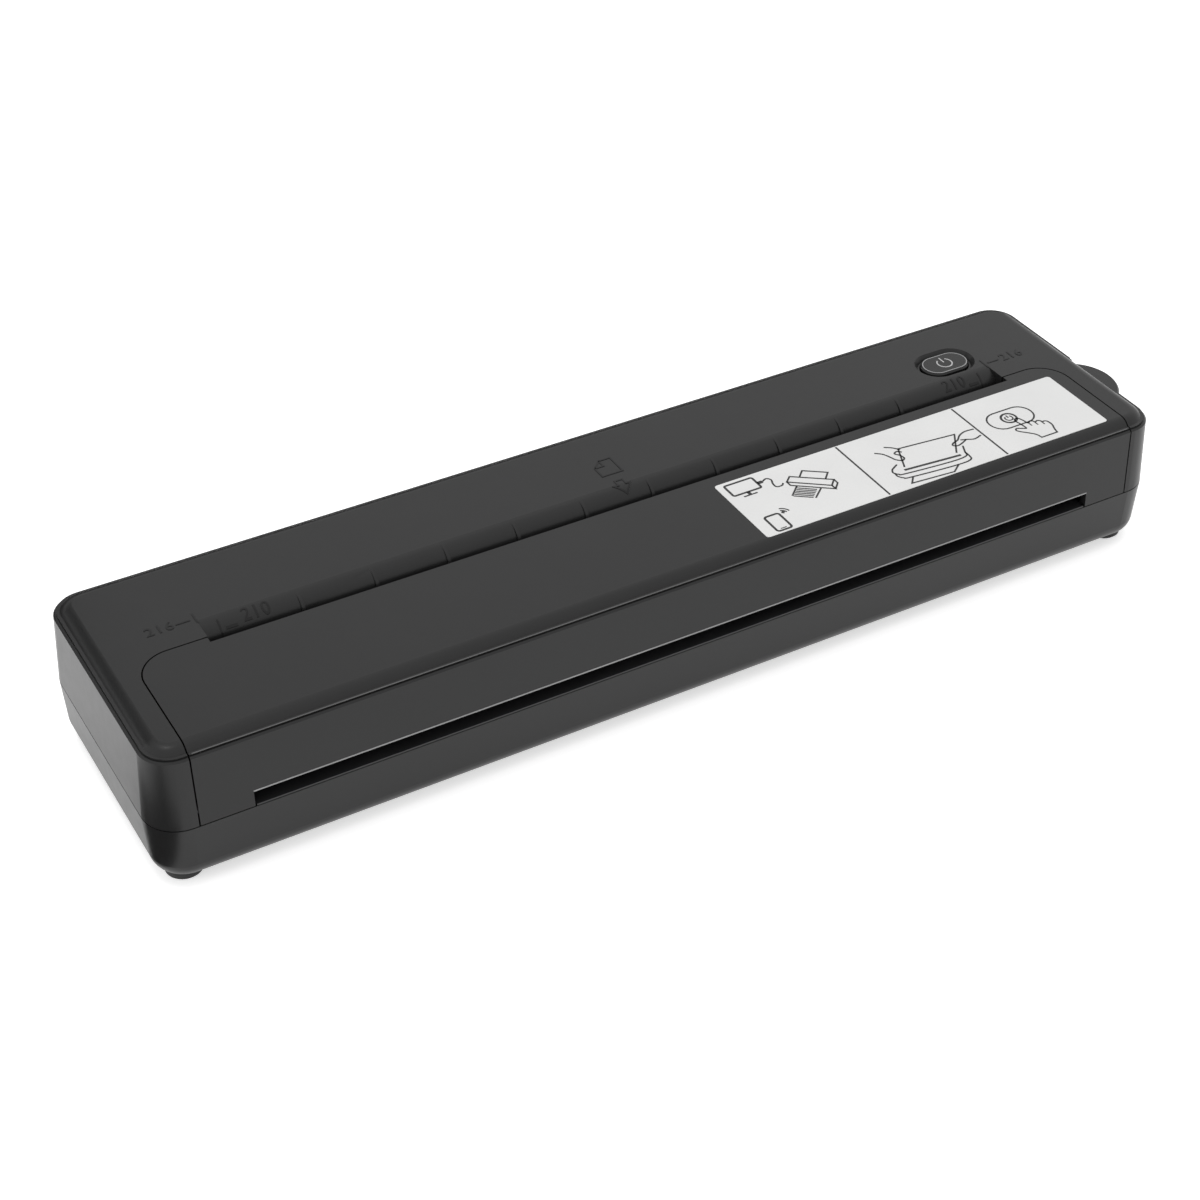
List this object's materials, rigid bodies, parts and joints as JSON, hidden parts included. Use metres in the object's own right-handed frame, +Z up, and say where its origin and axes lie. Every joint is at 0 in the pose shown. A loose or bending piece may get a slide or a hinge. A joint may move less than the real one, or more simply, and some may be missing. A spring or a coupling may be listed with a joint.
{
  "type": "portable thermal printer",
  "caption": "Slim bar-shaped portable A4 thermal printer: paper inlet on top, exit slot in the hinged front cover, platen and gear train inside, release lever and power button.",
  "frame": {"origin": "bottom centre of the box around the whole printer: on the table plane, in the middle of the overall length (finger tab included) and of the depth", "axes": "+X along the printer, towards the end with the release tab and the port; +Y to the rear; +Z up"},
  "size_m": [0.2714, 0.0672, 0.0375],
  "materials": {
    "aluminium": "pressed aluminium plate",
    "board_green": "green glass epoxy board",
    "brass": "turned brass",
    "bushing_plastic": "dark filled acetal",
    "button_plastic": "satin charcoal ABS",
    "cell_wrap": "shrink sleeve",
    "ceramic": "glazed alumina",
    "chip_black": "black moulded packages",
    "foot_rubber": "matt black rubber",
    "gear_plastic": "natural white acetal",
    "housing_plastic": "satin charcoal ABS with a fine spark texture",
    "inner_plastic": "smooth black ABS",
    "label_film": "white printed film",
    "plate_steel": "zinc plated sheet",
    "port_metal": "stainless shell",
    "resin": "black resin",
    "ribbon": "flat flexible cable",
    "roller_rubber": "ground dark grey silicone rubber",
    "spring_steel": "bright spring wire",
    "steel": "ground steel",
    "zinc_screw": "zinc plated steel"
  },
  "bodies": {
    "housing": {"base": "housing_plastic", "upper_shell": "housing_plastic", "rubber_feet": "foot_rubber", "case_screws": "zinc_screw", "hinge_pins": "steel", "exit_guide": "inner_plastic", "lower_paper_guide": "inner_plastic", "paper_sensor": "chip_black", "head_pivot_shaft": "steel", "head_springs": "spring_steel", "stepper_motor": "plate_steel", "gear_posts": "steel", "gear_plate": "plate_steel", "latch_plate": "plate_steel", "latch_spring": "spring_steel", "button_board": "board_green", "tact_switch": "chip_black", "board_screws": "zinc_screw", "main_board": "board_green", "board_components": "chip_black", "usb_c_port": "port_metal", "battery_pack": "cell_wrap", "head_ribbon": "ribbon"},
    "front_cover": {"front_cover": "housing_plastic", "guide_label": "label_film", "platen_bushings": "bushing_plastic"},
    "platen": {"platen_shaft": "steel", "platen_rubber": "roller_rubber", "platen_gear": "gear_plastic"},
    "print_head": {"head_heatsink": "aluminium", "thermal_head": "ceramic", "head_driver_cover": "resin"},
    "idler": {"idler_gear": "gear_plastic"},
    "reduction": {"reduction_gear": "gear_plastic"},
    "motor_rotor": {"motor_pinion": "brass", "motor_shaft": "steel"},
    "latch": {"latch_shaft": "steel", "latch_hooks": "plate_steel", "release_lever": "button_plastic"},
    "button": {"power_button": "button_plastic"}
  },
  "joints": [
    {"name": "cover_hinge", "type": "hinge", "parent": "housing", "child": "front_cover", "pos_m": [0, -0.0312, 0.0199], "axis": [1, 0, 0], "range_deg": [0, 85]},
    {"name": "platen_spin", "type": "hinge", "parent": "front_cover", "child": "platen", "pos_m": [0, -0.0173, 0.0259], "axis": [1, 0, 0], "continuous": true},
    {"name": "head_tilt", "type": "hinge", "parent": "housing", "child": "print_head", "pos_m": [0, -0.00515, 0.0147], "axis": [1, 0, 0], "range_deg": [0, 2], "stiffness_Nm_per_rad": 0.8, "springref_deg": -2.86, "deforming": ["head_springs"]},
    {"name": "idler_spin", "type": "hinge", "parent": "housing", "child": "idler", "pos_m": [0, -0.01164, 0.01364], "axis": [1, 0, 0], "continuous": true},
    {"name": "reduction_spin", "type": "hinge", "parent": "housing", "child": "reduction", "pos_m": [0, -0.00038, 0.01601], "axis": [1, 0, 0], "continuous": true},
    {"name": "motor_spin", "type": "hinge", "parent": "housing", "child": "motor_rotor", "pos_m": [0, 0.0128, 0.0131], "axis": [1, 0, 0], "continuous": true},
    {"name": "latch_turn", "type": "hinge", "parent": "housing", "child": "latch", "pos_m": [0, 0.005, 0.0206], "axis": [1, 0, 0], "range_deg": [-6, 0], "stiffness_Nm_per_rad": 0.15, "springref_deg": 6.88, "deforming": ["latch_spring"]},
    {"name": "button_press", "type": "slide", "parent": "housing", "child": "button", "axis": [0, 0, 1], "range_m": [-0.0008, 0], "stiffness_N_per_m": 300, "springref_m": 0.0008}
  ],
  "couplings": [
    {"joint": "idler_spin", "follows": "platen_spin", "ratio": -0.8},
    {"joint": "reduction_spin", "follows": "platen_spin", "ratio": 1.5},
    {"joint": "motor_spin", "follows": "platen_spin", "ratio": -5.25}
  ]
}
